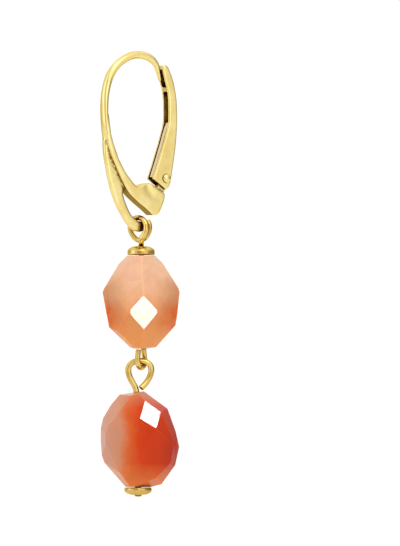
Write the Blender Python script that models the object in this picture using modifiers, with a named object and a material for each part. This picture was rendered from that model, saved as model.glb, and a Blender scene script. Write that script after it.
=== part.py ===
"""Drop earring: a leverback ear hook and two faceted stone beads, linked by wire eyes.

Metres, +Z up. The origin is the inside top of the hook's arch, where the ear lobe bears.
The hook lies in the XZ plane, its front bar towards -X and its lever towards +X.
"""

import math

import bmesh
import bpy
from mathutils import Matrix, Vector

MM = 0.001

# Ear hook: overall sizes
HOOK_REACH = 4.4 * MM
HOOK_DROP = 18.0 * MM
ARCH_WIRE = 0.85 * MM
BAR_WIDTH = 1.56 * MM
BLADE_WIDTH = 0.65 * MM
BAR_ROUNDING = 0.2 * MM
BLADE_ROUNDING = 0.2 * MM
TAIL_THICKNESS = 1.1 * MM
TAIL_LENGTH = 0.78 * MM

# Lever and hinge
LEVER_WIDTH = 1.44 * MM
LEVER_WALL = 0.24 * MM
LEVER_WEB = 0.32 * MM
LEVER_ROUNDING = 0.1 * MM
SEAT_HEIGHT = 0.45 * MM
SEAT_SINK = 0.1 * MM
HINGE_BACK = 3.02 * MM
HINGE_DROP = 12.43 * MM
RIVET_DIAMETER = 0.6 * MM
RIVET_HEAD = 0.95 * MM
RIVET_HEAD_HEIGHT = 0.28 * MM
LUG_RADIUS = 0.6 * MM
LEAF_WIDTH = 0.56 * MM
LEAF_THICKNESS = 0.14 * MM

# Wire pins
PIN_WIRE = 0.6 * MM
LOWER_PIN_WIRE = 0.66 * MM
TOP_EYE_WIDTH = 2.86 * MM
TOP_EYE_HEIGHT = 2.95 * MM
LINK_EYE_WIDTH = 2.5 * MM
LINK_EYE_HEIGHT = 2.28 * MM
LOWER_EYE_WIDTH = 3.08 * MM
LOWER_EYE_HEIGHT = 3.42 * MM
PIN_HEAD = 0.77 * MM
PIN_HEAD_HEIGHT = 0.17 * MM

# Beads and caps
UPPER_BEAD_WIDTH = 8.04 * MM
UPPER_BEAD_DEPTH = 7.7 * MM
UPPER_BEAD_HEIGHT = 9.69 * MM
LOWER_BEAD_WIDTH = 8.17 * MM
LOWER_BEAD_DEPTH = 7.8 * MM
LOWER_BEAD_HEIGHT = 9.95 * MM
CAP_DIAMETER = 2.87 * MM
CAP_HEIGHT = 0.95 * MM
LOWER_CAP_HEIGHT = 0.78 * MM

# Places
DROP_BACK = 0.37 * MM
LOWER_DROP_SIDE = -0.12 * MM
LOWER_STEM_SIDE = -0.38 * MM
LOWER_CAP_SIDE = -0.2 * MM
TOP_EYE_SIDE = -0.27 * MM
EYE_TO_CAP = 0.3 * MM
EYE_TO_BEAD = 0.08 * MM
FACE_TURN = -30.0
TOP_EYE_TURN = 28.0
LINK_EYE_TURN = 37.0

# Clearances
SLIDE_GAP = 0.07 * MM
HINGE_GAP = 0.05 * MM
SEAT_GAP = 0.04 * MM
EYE_GAP = 0.08 * MM
DRILL_GAP = 0.07 * MM

# Colours as linear red, green and blue
PALE_GOLD = (0.83, 0.64, 0.25)
WARM_GOLD = (0.80, 0.50, 0.12)
PEACH_STONE = (0.74, 0.36, 0.19)
ORANGE_STONE = (0.62, 0.12, 0.03)

ROUND_SIDES = 24
HOOK_SIDES = 12

# Tables of places on the hook and the lever have two columns, across and down. Across is a share of the
# hook's reach in front of the origin, and of the hinge's place behind it. Down is 0 at the origin, 1 at
# the hinge's height and 2 at the foot of the tail, so that all pieces keep their places when one moves.

# Centre line of the arch, from its tip to the front bar. Two more columns: the section's depth and width
# as shares of the arch wire.
ARCH_ROUTE = (
    (0.874, 0.216, 0.34, 0.50),
    (0.822, 0.165, 0.54, 0.66),
    (0.771, 0.120, 0.64, 0.76),
    (0.699, 0.077, 0.78, 0.86),
    (0.517, 0.033, 0.96, 0.94),
    (0.278, 0.009, 1.00, 0.94),
    (-0.020, 0.000, 1.00, 0.94),
    (-0.218, 0.013, 1.00, 0.96),
    (-0.420, 0.048, 1.02, 1.00),
    (-0.570, 0.088, 1.04, 1.04),
    (-0.682, 0.133, 1.05, 1.08),
    (-0.775, 0.187, 1.05, 1.14),
    (-0.843, 0.253, 1.02, 1.20),
    (-0.895, 0.337, 0.98, 1.28),
    (-0.914, 0.421, 0.92, 1.38),
    (-0.916, 0.510, 0.86, 1.46),
    (-0.902, 0.598, 0.78, 1.52),
    (-0.872, 0.686, 0.70, 1.56),
)

# Side outline of the bar and body behind the blade.
BODY_OUTLINE = (
    (-0.900, 0.434),
    (-0.925, 0.550),
    (-0.918, 0.623),
    (-0.890, 0.705),
    (-0.807, 0.805),
    (-0.670, 0.905),
    (-0.534, 1.011),
    (-0.398, 1.199),
    (-0.335, 1.273),
    (-0.239, 1.347),
    (-0.048, 1.470),
    (0.208, 1.580),
    (0.447, 1.690),
    (0.634, 1.687),
    (0.721, 1.648),
    (0.801, 1.573),
    (0.903, 1.441),
    (0.954, 1.331),
    (0.932, 1.279),
    (0.731, 1.218),
    (0.533, 1.144),
    (0.453, 1.105),
    (0.335, 1.085),
    (0.235, 1.095),
    (0.096, 1.111),
    (-0.016, 1.137),
    (-0.084, 1.147),
    (-0.139, 1.131),
    (-0.207, 1.085),
    (-0.289, 1.011),
    (-0.370, 0.972),
    (-0.452, 0.930),
    (-0.520, 0.888),
    (-0.600, 0.837),
    (-0.670, 0.772),
    (-0.739, 0.705),
    (-0.793, 0.637),
    (-0.823, 0.553),
    (-0.846, 0.469),
)

# The bar's width down the hook. Columns: down as above, width as a share of the bar's.
BAR_TAPER = (
    (0.434, 0.70),
    (0.579, 0.82),
    (0.724, 0.92),
    (0.869, 0.98),
    (1.031, 1.00),
    (1.354, 1.00),
    (1.709, 0.96),
)

# Front and back edges of the blade, down to the tail and up from it.
BLADE_FRONT = (
    (-0.900, 0.623),
    (-0.955, 0.695),
    (-0.939, 0.798),
    (-0.885, 0.898),
    (-0.830, 0.998),
    (-0.748, 1.218),
    (-0.639, 1.444),
    (-0.557, 1.557),
    (-0.475, 1.667),
    (-0.385, 1.780),
    (-0.265, 1.897),
    (-0.120, 1.981),
)
BLADE_BACK = (
    (-0.045, 1.787),
    (-0.120, 1.748),
    (-0.206, 1.677),
    (-0.289, 1.573),
    (-0.384, 1.405),
    (-0.430, 1.289),
    (-0.410, 1.176),
    (-0.500, 0.989),
    (-0.660, 0.885),
    (-0.795, 0.772),
    (-0.850, 0.681),
)

# Lever: inner edge and back edge, top to bottom.
LEVER_INNER = (
    (0.857, 0.062),
    (0.865, 0.094),
    (0.904, 0.136),
    (0.948, 0.177),
    (1.000, 0.219),
    (1.060, 0.261),
    (1.093, 0.344),
    (1.103, 0.445),
    (1.093, 0.529),
    (1.053, 0.579),
    (0.974, 0.637),
    (0.894, 0.705),
    (0.795, 0.772),
    (0.715, 0.830),
    (0.636, 0.888),
    (0.556, 0.939),
    (0.477, 0.989),
    (0.457, 1.004),
)
LEVER_BACK = (
    (0.880, 0.052),
    (0.930, 0.047),
    (1.000, 0.050),
    (1.075, 0.066),
    (1.152, 0.102),
    (1.232, 0.144),
    (1.311, 0.203),
    (1.371, 0.270),
    (1.421, 0.344),
    (1.440, 0.428),
    (1.444, 0.512),
    (1.430, 0.595),
    (1.404, 0.679),
    (1.364, 0.763),
    (1.311, 0.846),
    (1.252, 0.930),
    (1.212, 0.989),
    (1.172, 1.087),
    (1.113, 1.170),
    (1.013, 1.208),
    (0.974, 1.208),
)
# Places on the lever, named by the same shares.
LEVER_WEB_TOP = 0.082
LEVER_WEB_FOOT = 0.925
SEAT_DROP = 0.236
SEAT_FRONT = 1.053
SEAT_BACK = 1.25

# Leaf spring down the channel.
LEAF_ROUTE = (
    (1.200, 0.535),
    (1.135, 0.567),
    (1.030, 0.640),
    (0.947, 0.708),
    (0.854, 0.772),
    (0.775, 0.833),
    (0.695, 0.889),
    (0.616, 0.941),
    (0.545, 0.990),
)

# Foot of the hinge lug, inside the body.
LUG_FOOT = (
    (0.603, 1.269),
    (0.885, 1.341),
)

# Domed heads: radius and height as shares of half the head and of its height.
RIVET_DOME = (
    (0.00, 1.00),
    (0.45, 0.88),
    (0.82, 0.55),
    (1.00, 0.18),
    (1.00, 0.00),
)
PIN_DOME = (
    (0.00, 0.00),
    (1.00, 0.00),
    (1.00, 0.35),
    (0.80, 0.75),
    (0.40, 0.95),
    (0.00, 1.00),
)

# Upper pin's eye on the tail: where the round starts and ends in radians, how much it narrows at the stem,
# the share of its pitch that lies before the middle, and its steps.
TOP_EYE_START = 0.7
TOP_EYE_END = 2.75 * math.pi
TOP_EYE_NARROWING = 0.2
TOP_EYE_LEVEL = 0.6
TOP_EYE_STEPS = 44

# Upper pin's link below the bead, the wire's centre line from the stem round to its end. Columns: across
# as a share of half its width, down as a share of its height.
LINK_ROUTE = (
    (0.70, 0.04),
    (0.78, 0.16),
    (0.90, 0.34),
    (0.98, 0.52),
    (0.98, 0.68),
    (0.79, 0.86),
    (0.42, 0.97),
    (0.00, 1.00),
    (-0.42, 0.97),
    (-0.79, 0.86),
    (-0.98, 0.68),
    (-0.98, 0.52),
    (-0.88, 0.34),
    (-0.80, 0.18),
    (-0.76, 0.05),
)

# Lower pin's eye, the wire's centre line from the stem round to the free end. Columns: across as a share
# of half its width, up as a share of its height, out to the front as a share of the wire.
LOWER_EYE_ROUTE = (
    (-0.40, 0.00, 0.0),
    (-0.54, 0.12, 0.0),
    (-0.79, 0.31, 0.0),
    (-0.95, 0.50, 0.0),
    (-1.00, 0.67, 0.0),
    (-0.88, 0.84, 0.0),
    (-0.52, 0.96, 0.0),
    (0.00, 1.00, 0.0),
    (0.52, 0.96, 0.0),
    (0.88, 0.84, 0.0),
    (0.98, 0.67, 0.0),
    (0.92, 0.50, 0.0),
    (0.73, 0.31, 0.05),
    (0.42, 0.12, 0.3),
    (0.08, -0.03, 0.62),
)

# Bead outlines as the eye sees them from the front: across and up as shares of half the bead's width
# and height, then the lean of the two facets on that edge as a share of the most that clears the corners.
UPPER_OUTLINE = (
    (-0.366, 1.000, 0.90),
    (-0.576, 0.824, 0.90),
    (-0.969, 0.281, 0.80),
    (-1.000, 0.206, 1.00),
    (-0.830, -0.540, 1.00),
    (-0.280, -0.974, 0.90),
    (-0.195, -1.000, 0.00),
    (0.151, -1.000, 0.90),
    (0.385, -0.970, 1.00),
    (0.890, -0.500, 0.90),
    (0.938, -0.264, 1.00),
    (1.000, 0.217, 0.80),
    (0.966, 0.303, 0.90),
    (0.547, 0.856, 0.90),
    (0.358, 1.000, 0.90),
)
LOWER_OUTLINE = (
    (-0.519, 0.934, 0.95),
    (-0.753, 0.702, 1.00),
    (-0.939, 0.439, 0.75),
    (-0.997, 0.240, 0.75),
    (-1.000, -0.031, 0.75),
    (-0.972, -0.345, 0.95),
    (-0.903, -0.495, 1.00),
    (-0.372, -0.990, 0.00),
    (0.277, -1.000, 0.90),
    (0.550, -0.940, 0.95),
    (0.900, -0.540, 0.75),
    (1.000, -0.163, 0.75),
    (0.913, 0.157, 1.00),
    (0.702, 0.639, 1.00),
    (0.107, 0.999, 0.00),
    (-0.092, 0.989, 0.30),
)

# Corners on the front of each bead: across, out to the front and up, as shares of half its sizes.
UPPER_CORNERS = {
    "kite_top": (0.063, 0.955, 0.137),
    "kite_right": (0.446, 0.870, -0.202),
    "kite_foot": (0.076, 0.790, -0.582),
    "kite_left": (-0.322, 0.885, -0.202),
    "crown_left": (-0.22, 0.37, 1.00),
    "crown_right": (0.22, 0.37, 1.00),
    "base_left": (-0.18, 0.28, -0.97),
    "base_right": (0.20, 0.28, -0.97),
}
UPPER_FACETS = (
    ("kite_top", "kite_left", "kite_foot"),
    ("kite_top", "kite_left", "crown_left"),
    ("kite_top", "kite_right", "crown_right"),
    ("kite_foot", "kite_left", "base_left"),
    ("kite_foot", "kite_right", "base_right"),
)
LOWER_CORNERS = {
    "kite_top": (0.120, 0.600, 0.773),
    "kite_right": (0.527, 0.585, 0.571),
    "kite_foot": (0.417, 0.885, 0.238),
    "kite_left": (0.008, 0.900, 0.445),
    "side_top": (-0.321, 0.670, 0.742),
    "side_left": (-0.628, 0.665, 0.450),
    "side_foot": (-0.313, 0.900, 0.163),
    "hip_right": (0.800, 0.480, -0.05),
    "hip_left": (-0.820, 0.500, 0.00),
    "base_mid": (0.050, 0.840, -0.450),
    "base_left": (-0.480, 0.600, -0.720),
    "base_right": (0.420, 0.590, -0.780),
}
LOWER_FACETS = (
    ("kite_top", "kite_left", "kite_foot"),
    ("side_left", "kite_left", "side_foot"),
    ("side_top", "kite_left", "kite_top"),
    ("side_foot", "kite_left", "kite_foot"),
    ("kite_right", "kite_foot", "hip_right"),
    ("side_left", "side_foot", "hip_left"),
    ("side_foot", "base_mid", "base_left"),
    ("kite_foot", "base_mid", "base_right"),
    ("base_mid", "base_left", "base_right"),
    ("kite_foot", "base_right", "hip_right"),
    ("side_foot", "base_left", "hip_left"),
)

# Cap profiles, outer side from top to rim: radius and height as shares of half the diameter and the height.
CAP_PROFILE = (
    (0.46, 1.00),
    (0.68, 0.91),
    (0.86, 0.75),
    (0.97, 0.58),
    (1.00, 0.44),
    (1.00, 0.10),
    (0.96, 0.00),
)


def clear_scene():
    """Remove every object that is already there."""
    for old in list(bpy.data.objects):
        bpy.data.objects.remove(old, do_unlink=True)


def new_collection(name):
    """Make a collection in the scene."""
    group = bpy.data.collections.new(name)
    bpy.context.scene.collection.children.link(group)
    return group


def new_material(name, colour, roughness, metallic):
    """Make a Principled material."""
    made = bpy.data.materials.new(name)
    made.use_nodes = True
    shader = made.node_tree.nodes["Principled BSDF"]
    shader.inputs["Base Color"].default_value = (*colour, 1.0)
    shader.inputs["Roughness"].default_value = roughness
    shader.inputs["Metallic"].default_value = metallic
    made.diffuse_color = (*colour, 1.0)
    return made


def new_object(name, mesh, group):
    """Wrap a mesh in an object and put it in a collection."""
    made = bpy.data.objects.new(name, mesh)
    group.objects.link(made)
    return made


def object_from_bmesh(name, shape, group):
    """Turn a bmesh into an object with its normals outward."""
    bmesh.ops.recalc_face_normals(shape, faces=shape.faces)
    mesh = bpy.data.meshes.new(name)
    shape.to_mesh(mesh)
    shape.free()
    return new_object(name, mesh, group)


def dress(piece, surface, sharp_angle):
    """Give a piece its material and smooth shading with sharp edges kept."""
    piece.data.materials.clear()
    piece.data.materials.append(surface)
    piece.data.shade_smooth()
    piece.data.set_sharp_from_angle(angle=math.radians(sharp_angle))


def combine(target, tool, operation):
    """Join or cut one piece with a tool, which is kept as a wire shape."""
    step = target.modifiers.new(tool.name, "BOOLEAN")
    step.operation = operation
    step.solver = "EXACT"
    step.object = tool
    tool.hide_render = True
    tool.display_type = "WIRE"


def smooth_route(rows, steps):
    """Points along a smooth curve through rows of numbers, with every column blended alike."""
    found = []
    last = len(rows) - 1
    for i in range(last):
        before = rows[max(i - 1, 0)]
        here = rows[i]
        ahead = rows[i + 1]
        after = rows[min(i + 2, last)]
        for k in range(steps):
            t = k / steps
            found.append(tuple(
                0.5 * (
                    2 * b
                    + (c - a) * t
                    + (2 * a - 5 * b + 4 * c - d) * t * t
                    + (3 * b - a - 3 * c + d) * t * t * t
                )
                for a, b, c, d in zip(before, here, ahead, after)
            ))
    found.append(tuple(rows[last]))
    return found


def height_at(down):
    """Height of a share: 0 at the origin, 1 at the hinge and 2 at the foot of the tail."""
    if down <= 1.0:
        return -down * HINGE_DROP
    return -HINGE_DROP - (down - 1.0) * (HOOK_DROP - HINGE_DROP)


def hook_point(across, down):
    """A place in the plane of the hook and the lever from its two shares."""
    reach = HINGE_BACK if across > 0.0 else HOOK_REACH
    return (across * reach, height_at(down))


def swept_bar(name, rows, sides, group):
    """A bar in the XZ plane with an oval section. Rows hold x, z, depth and width."""
    shape = bmesh.new()
    rings = []
    for i, (x, z, depth, width) in enumerate(rows):
        ahead = rows[min(i + 1, len(rows) - 1)]
        before = rows[max(i - 1, 0)]
        along = Vector((ahead[0] - before[0], 0.0, ahead[1] - before[1])).normalized()
        outward = Vector((-along.z, 0.0, along.x))
        ring = []
        for k in range(sides):
            turn = 2 * math.pi * k / sides
            spot = Vector((x, 0.0, z))
            spot += outward * (0.5 * depth * math.cos(turn))
            spot += Vector((0.0, 0.5 * width * math.sin(turn), 0.0))
            ring.append(shape.verts.new(spot))
        rings.append(ring)
    for first, second in zip(rings, rings[1:]):
        for k in range(sides):
            shape.faces.new((first[k], first[(k + 1) % sides], second[(k + 1) % sides], second[k]))
    shape.faces.new(rings[0])
    shape.faces.new(rings[-1])
    return object_from_bmesh(name, shape, group)


def plate(name, outline, width, rounding, group, segments=2):
    """A flat piece across Y from an outline in x and z, its long edges rounded."""
    shape = bmesh.new()
    corners = [shape.verts.new((x, -0.5 * width, z)) for x, z in outline]
    face = shape.faces.new(corners)
    grown = bmesh.ops.extrude_face_region(shape, geom=[face])
    moved = [item for item in grown["geom"] if isinstance(item, bmesh.types.BMVert)]
    bmesh.ops.translate(shape, verts=moved, vec=(0.0, width, 0.0))
    bmesh.ops.recalc_face_normals(shape, faces=shape.faces)
    if rounding > 0:
        rims = [
            edge for edge in shape.edges
            if abs(abs(edge.verts[0].co.y) - 0.5 * width) < 1e-9
            and abs(edge.verts[0].co.y - edge.verts[1].co.y) < 1e-9
        ]
        bmesh.ops.bevel(
            shape, geom=rims, offset=rounding, segments=segments, profile=0.5, affect="EDGES",
            clamp_overlap=True,
        )
    return object_from_bmesh(name, shape, group)


def taper_across(piece, table):
    """Narrow a piece in Y by height, from a table of heights and widths as shares."""
    shape = bmesh.new()
    shape.from_mesh(piece.data)
    steps = [(height_at(down), share) for down, share in table]
    for height, _ in steps:
        bmesh.ops.bisect_plane(
            shape,
            geom=list(shape.verts) + list(shape.edges) + list(shape.faces),
            plane_co=(0.0, 0.0, height),
            plane_no=(0.0, 0.0, 1.0),
        )
    for corner in shape.verts:
        share = steps[0][1]
        for (above, first), (below, second) in zip(steps, steps[1:]):
            if corner.co.z <= above:
                share = first + (second - first) * min((above - corner.co.z) / (above - below), 1.0)
        corner.co.y *= share
    shape.to_mesh(piece.data)
    shape.free()
    return piece


def cylinder(name, radius, length, centre, axis, sides, group):
    """A closed cylinder about a centre, along an axis."""
    shape = bmesh.new()
    bmesh.ops.create_cone(
        shape, cap_ends=True, segments=sides, radius1=radius, radius2=radius, depth=length
    )
    turn = Vector((0.0, 0.0, 1.0)).rotation_difference(Vector(axis)).to_matrix().to_4x4()
    bmesh.ops.transform(shape, matrix=Matrix.Translation(centre) @ turn, verts=shape.verts)
    return object_from_bmesh(name, shape, group)


def box(name, low, high, group):
    """A box between two corners."""
    shape = bmesh.new()
    bmesh.ops.create_cube(shape, size=1.0)
    size = [b - a for a, b in zip(low, high)]
    middle = [0.5 * (a + b) for a, b in zip(low, high)]
    bmesh.ops.transform(
        shape,
        matrix=Matrix.Translation(middle) @ Matrix.Diagonal((*size, 1.0)),
        verts=shape.verts,
    )
    return object_from_bmesh(name, shape, group)


def wire(name, points, diameter, group):
    """A round wire through points, made as a curve and then turned into a closed mesh."""
    curve = bpy.data.curves.new(name, "CURVE")
    curve.dimensions = "3D"
    curve.bevel_depth = 0.5 * diameter
    curve.bevel_resolution = 2
    curve.use_fill_caps = True
    spline = curve.splines.new("POLY")
    spline.points.add(len(points) - 1)
    for spot, point in zip(spline.points, points):
        spot.co = (*point, 1.0)
    bent = new_object(name + "_curve", curve, group)
    bpy.context.view_layer.update()
    graph = bpy.context.evaluated_depsgraph_get()
    mesh = bpy.data.meshes.new_from_object(bent.evaluated_get(graph))
    place = bent.matrix_world.copy()
    bpy.data.objects.remove(bent, do_unlink=True)
    shape = bmesh.new()
    shape.from_mesh(mesh)
    bmesh.ops.remove_doubles(shape, verts=shape.verts, dist=0.0001 * MM)
    bmesh.ops.recalc_face_normals(shape, faces=shape.faces)
    shape.to_mesh(mesh)
    shape.free()
    made = new_object(name, mesh, group)
    made.matrix_world = place
    return made


def eye_points(centre, side, normal, width, height, start, end, pitch, level, up, narrowing, count):
    """Centre line of a wire eye. The angle is 0 at the stem, and up points from the stem to the far end."""
    found = []
    for k in range(count + 1):
        turn = start + (end - start) * k / count
        pinch = 1.0 - narrowing * (0.5 * (1.0 + math.cos(turn))) ** 2
        found.append(
            centre
            + side * (0.5 * width * math.sin(turn) * pinch)
            - up * (0.5 * height * math.cos(turn))
            + normal * (pitch * (turn / (2 * math.pi) - level))
        )
    return found


def facet_planes(outline, corners, facets, half):
    """Planes of a cut stone as point and outward normal, from its outline and its named corners."""
    half_width, half_depth, half_height = half
    planes = []
    for (x0, z0, share), (x1, z1, _) in zip(outline, outline[1:] + outline[:1]):
        along = Vector((x1 - x0, 0.0, z1 - z0)).normalized()
        outward = Vector((along.z, 0.0, -along.x))
        reach = outward.x * x0 + outward.z * z0
        if reach < 0:
            outward.negate()
            reach = -reach
        for front in (-1.0, 1.0):
            room = min(
                (reach + front * outward.x * across - outward.z * up) / out
                for across, out, up in corners.values()
            )
            planes.append((Vector((x0, 0.0, z0)), Vector((outward.x, front * share * room, outward.z))))
    for names in facets:
        a, b, c = (Vector((corners[n][0], -corners[n][1], corners[n][2])) for n in names)
        tilted = (b - a).cross(c - a)
        if tilted.dot(a) < 0:
            tilted.negate()
        planes.append((a, tilted))
        planes.append((Vector((-a.x, -a.y, a.z)), Vector((-tilted.x, -tilted.y, tilted.z))))
    scaled = []
    for spot, tilted in planes:
        place = Vector((spot.x * half_width, spot.y * half_depth, spot.z * half_height))
        normal = Vector((tilted.x / half_width, tilted.y / half_depth, tilted.z / half_height))
        scaled.append((place, normal.normalized()))
    return scaled


def cut_stone(name, planes, half, group):
    """A stone ground from a block, one flat facet after another."""
    shape = bmesh.new()
    bmesh.ops.create_cube(shape, size=1.0)
    rough = Matrix.Diagonal((2.2 * half[0], 2.2 * half[1], 2.2 * half[2], 1.0))
    bmesh.ops.transform(shape, matrix=rough, verts=shape.verts)
    for place, normal in planes:
        cut = bmesh.ops.bisect_plane(
            shape,
            geom=list(shape.verts) + list(shape.edges) + list(shape.faces),
            dist=1e-9,
            plane_co=place,
            plane_no=normal,
            clear_outer=True,
        )
        rim = [item for item in cut["geom_cut"] if isinstance(item, bmesh.types.BMEdge)]
        if rim:
            bmesh.ops.holes_fill(shape, edges=rim, sides=0)
    return object_from_bmesh(name, shape, group)


def face_matrix(centre):
    """Turns a stone made with its front towards -Y so that it faces the viewer."""
    return Matrix.Translation(centre) @ Matrix.Rotation(math.radians(FACE_TURN), 4, "Z")


def turned(name, profile, closed, group):
    """A piece turned about Z from a profile of radius and height, run down its outer side."""
    corners = [(r, 0.0, z) for r, z in profile]
    edges = [(i, i + 1) for i in range(len(profile) - 1)]
    if closed:
        edges.append((len(profile) - 1, 0))
    mesh = bpy.data.meshes.new(name)
    mesh.from_pydata(corners, edges, [])
    made = new_object(name, mesh, group)
    turning = made.modifiers.new("Turn", "SCREW")
    turning.angle = 2 * math.pi
    turning.steps = ROUND_SIDES
    turning.render_steps = ROUND_SIDES
    turning.use_merge_vertices = True
    turning.merge_threshold = 0.001 * MM
    turning.use_smooth_shade = True
    turning.use_normal_calculate = True
    return made


def cap_profile(height, bore):
    """Outline of a domed cap over its flat rim at height 0, with a bore for the pin."""
    radius = 0.5 * CAP_DIAMETER
    rows = [(bore, height)]
    rows += [(share * radius, up * height) for share, up in CAP_PROFILE]
    rows += [(bore, 0.0)]
    return rows


def new_axis(name, place, group):
    """An empty on a joint's axis, which carries what turns about it."""
    made = bpy.data.objects.new(name, None)
    made.location = place
    made.empty_display_size = 1.0 * MM
    group.objects.link(made)
    return made


def carry(piece, axis):
    """Parent a piece to an axis and leave it where it is."""
    piece.parent = axis
    piece.matrix_parent_inverse = Matrix.Translation(axis.location).inverted()


def tail_height():
    """Height of the tail's centre line, which is the axis that the drop swings about."""
    return -HOOK_DROP + 0.5 * TAIL_THICKNESS


def channel_width():
    """Clear width between the lever's flanks."""
    return LEVER_WIDTH - 2 * LEVER_WALL


def hinge_place():
    """The hinge's centre."""
    return Vector((HINGE_BACK, 0.0, -HINGE_DROP))


def blade_outline():
    """Side outline of the front blade, down its front, round the tail's tip and back up."""
    radius = 0.5 * TAIL_THICKNESS
    middle = tail_height()
    front = [hook_point(*row) for row in BLADE_FRONT]
    tip = []
    for k in range(7):
        turn = math.radians(-90 + 30 * k)
        tip.append((
            TAIL_LENGTH - radius + radius * math.cos(turn),
            middle + radius * math.sin(turn),
        ))
    under = [(0.0, middle - radius)]
    over = [(0.0, middle + radius)]
    back = [hook_point(*row) for row in BLADE_BACK]
    return front + under + tip + over + back


def lug_outline():
    """Side outline of the hinge lug, round about the rivet and sunk into the body."""
    centre = hinge_place()
    rows = []
    for k in range(18):
        turn = math.radians(-50 + 15 * k)
        rows.append((
            centre.x + LUG_RADIUS * math.cos(turn),
            centre.z + LUG_RADIUS * math.sin(turn),
        ))
    rows += [hook_point(*row) for row in LUG_FOOT]
    return rows


def make_ear_hook(parts, tools):
    """The cast hook: arch, front bar with its blade and tail, body and hinge lug."""
    rows = []
    for across, down, depth, width in ARCH_ROUTE:
        x, z = hook_point(across, down)
        rows.append((x, z + 0.5 * ARCH_WIRE, depth * ARCH_WIRE, min(width * ARCH_WIRE, BAR_WIDTH)))
    hook = swept_bar("ear_hook", smooth_route(rows, 2), HOOK_SIDES, parts)
    outline = [hook_point(*row) for row in BODY_OUTLINE]
    body = plate("body_block", outline, BAR_WIDTH, BAR_ROUNDING, tools)
    combine(hook, taper_across(body, BAR_TAPER), "UNION")
    blade = plate("front_blade", blade_outline(), BLADE_WIDTH, BLADE_ROUNDING, tools)
    combine(hook, blade, "UNION")
    lug_width = channel_width() - 2 * SLIDE_GAP
    lug = plate("hinge_lug", lug_outline(), lug_width, 0.0, tools)
    combine(hook, lug, "UNION")
    bore = cylinder(
        "lug_bore", 0.5 * RIVET_DIAMETER + HINGE_GAP, 2 * BAR_WIDTH, hinge_place(),
        (0.0, 1.0, 0.0), ROUND_SIDES, tools,
    )
    combine(hook, bore, "DIFFERENCE")
    return hook


def make_rivet(parts):
    """The rivet that carries the lever, with a domed head on each side."""
    shaft = 0.5 * RIVET_DIAMETER
    head = 0.5 * RIVET_HEAD
    seat = 0.5 * LEVER_WIDTH + SEAT_GAP
    dome = [(share * head, seat + up * RIVET_HEAD_HEIGHT) for share, up in RIVET_DOME]
    dome.append((shaft, seat))
    profile = dome + [(r, -y) for r, y in reversed(dome)]
    rivet = turned("hinge_rivet", profile, False, parts)
    rivet.rotation_euler = (math.radians(90), 0.0, 0.0)
    rivet.location = hinge_place()
    return rivet


def make_lever(parts, tools):
    """The lever: a channel with two flanks, a web at its back and a seat for the hook's tip."""
    inner = [hook_point(*row) for row in LEVER_INNER]
    back = [hook_point(*row) for row in LEVER_BACK]
    lever = plate("lever", inner + back[::-1], LEVER_WIDTH, LEVER_ROUNDING, parts, segments=1)
    far = 2 * HINGE_BACK
    over = 0.1 * HINGE_DROP
    web_top = -LEVER_WEB_TOP * HINGE_DROP
    web_foot = -LEVER_WEB_FOOT * HINGE_DROP
    web = [(x - LEVER_WEB, z) for x, z in back if web_foot < z < web_top]
    hollow = [(0.0, over), (far, over), (far, web_top), (web[0][0], web_top)] + web
    hollow += [(web[-1][0], web_foot), (far, web_foot)]
    hollow += [(far, -HINGE_DROP - far), (0.0, -HINGE_DROP - far)]
    combine(lever, plate("channel", hollow, channel_width(), 0.0, tools), "DIFFERENCE")
    seat_top = -SEAT_DROP * HINGE_DROP
    half_seat = 0.5 * channel_width() + SEAT_SINK
    seat = box(
        "tip_seat",
        (SEAT_FRONT * HINGE_BACK, -half_seat, seat_top - SEAT_HEIGHT),
        (SEAT_BACK * HINGE_BACK, half_seat, seat_top),
        tools,
    )
    combine(lever, seat, "UNION")
    bore = cylinder(
        "lever_bore", 0.5 * RIVET_DIAMETER + HINGE_GAP, 2 * LEVER_WIDTH, hinge_place(),
        (0.0, 1.0, 0.0), ROUND_SIDES, tools,
    )
    combine(lever, bore, "DIFFERENCE")
    return lever


def make_leaf(parts):
    """The spring strip that lies in the lever's channel."""
    centre = smooth_route([hook_point(*row) for row in LEAF_ROUTE], 2)
    sides = ([], [])
    for i, (x, z) in enumerate(centre):
        ahead = centre[min(i + 1, len(centre) - 1)]
        before = centre[max(i - 1, 0)]
        along = Vector((ahead[0] - before[0], ahead[1] - before[1])).normalized()
        for side, sign in zip(sides, (1.0, -1.0)):
            side.append((
                x + sign * along.y * 0.5 * LEAF_THICKNESS,
                z - sign * along.x * 0.5 * LEAF_THICKNESS,
            ))
    return plate("spring_leaf", sides[0] + sides[1][::-1], LEAF_WIDTH, 0.0, parts)


def flat_direction(turn):
    """A level direction, turned from +X towards +Y."""
    return Vector((math.cos(math.radians(turn)), math.sin(math.radians(turn)), 0.0))


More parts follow.
